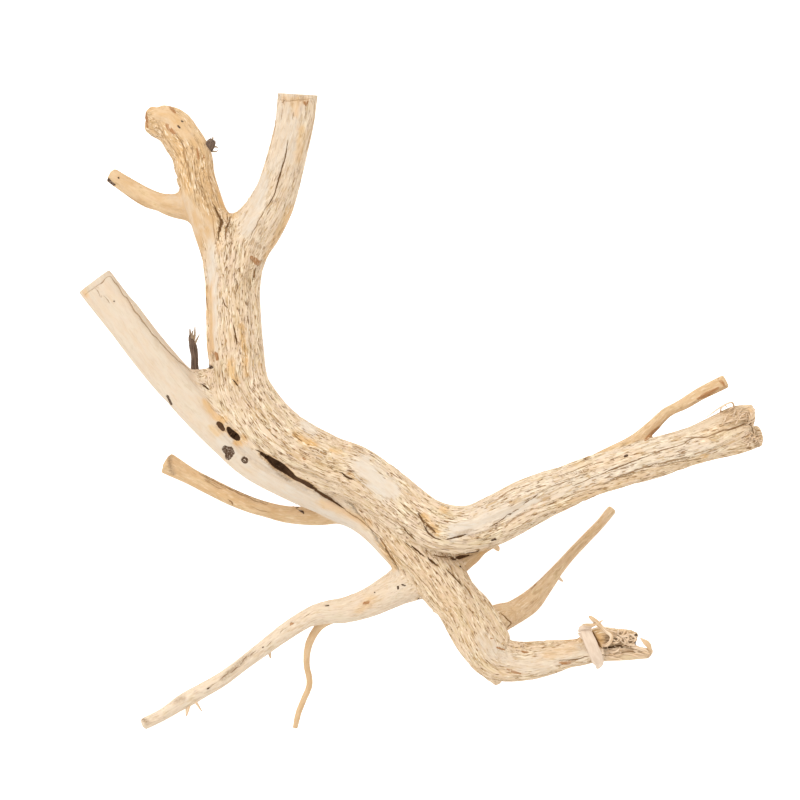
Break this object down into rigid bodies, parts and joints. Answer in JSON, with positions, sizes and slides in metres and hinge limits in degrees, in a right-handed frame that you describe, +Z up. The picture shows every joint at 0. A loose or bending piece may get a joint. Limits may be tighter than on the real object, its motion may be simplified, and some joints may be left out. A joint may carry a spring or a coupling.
{
  "type": "piece of driftwood",
  "caption": "Bare, sun-bleached branching driftwood lying on low tips, with a twisted trunk, saw-cut limbs, a long drying crack and torn, splintered ends",
  "frame": {"origin": "on the surface that the piece lies on, below the middle of its bounding box", "axes": "+Z up from that surface; +X towards the broken end of the long limb; +Y towards the two upper arms"},
  "size_m": [0.4369, 0.4224, 0.1105],
  "materials": {
    "driftwood": "matt, weathered bare wood"
  },
  "bodies": {
    "root": {"driftwood": "driftwood"}
  },
  "joints": []
}
